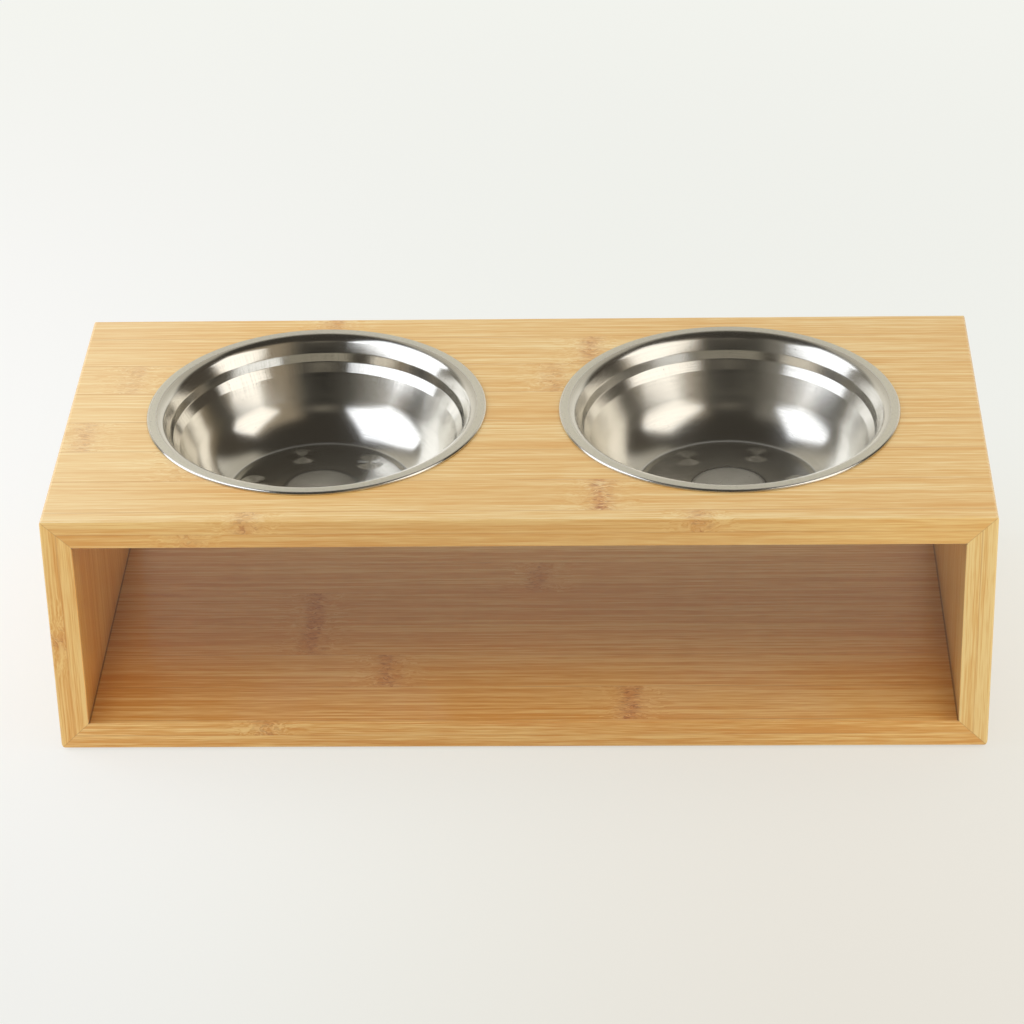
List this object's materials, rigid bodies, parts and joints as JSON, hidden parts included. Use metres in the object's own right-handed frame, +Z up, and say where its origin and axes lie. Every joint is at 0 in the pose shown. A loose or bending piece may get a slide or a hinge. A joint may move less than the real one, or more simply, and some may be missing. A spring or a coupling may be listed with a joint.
{
  "type": "elevated pet feeder",
  "caption": "Raised feeder: a mitred bamboo frame with an open storage bay, holding lift-out stainless steel bowls in its top.",
  "frame": {"origin": "on the floor under the middle of the frame", "axes": "+X to the right, +Y from the front to the back, +Z up"},
  "size_m": [0.4, 0.182, 0.1164],
  "materials": {
    "bamboo": "clear satin lacquer over laminated bamboo",
    "steel": "spun, satin rim and half-bright inside",
    "biscuit": "pressed beech, bare",
    "pad": "matt rubber"
  },
  "bodies": {
    "frame": {"top_board": "bamboo", "base_board": "bamboo", "left_side": "bamboo", "right_side": "bamboo", "biscuit_top_left_front": "biscuit", "biscuit_top_left_middle": "biscuit", "biscuit_top_left_back": "biscuit", "biscuit_top_right_front": "biscuit", "biscuit_top_right_middle": "biscuit", "biscuit_top_right_back": "biscuit", "biscuit_base_left_front": "biscuit", "biscuit_base_left_middle": "biscuit", "biscuit_base_left_back": "biscuit", "biscuit_base_right_front": "biscuit", "biscuit_base_right_middle": "biscuit", "biscuit_base_right_back": "biscuit", "pad_front_left": "pad", "pad_front_right": "pad", "pad_back_left": "pad", "pad_back_right": "pad"},
    "left_bowl": {"left_bowl": "steel"},
    "right_bowl": {"right_bowl": "steel"}
  },
  "joints": [
    {"name": "left_bowl_lift", "type": "slide", "parent": "frame", "child": "left_bowl", "axis": [0, 0, 1], "range_m": [0, 0.08]},
    {"name": "right_bowl_lift", "type": "slide", "parent": "frame", "child": "right_bowl", "axis": [0, 0, 1], "range_m": [0, 0.08]}
  ]
}
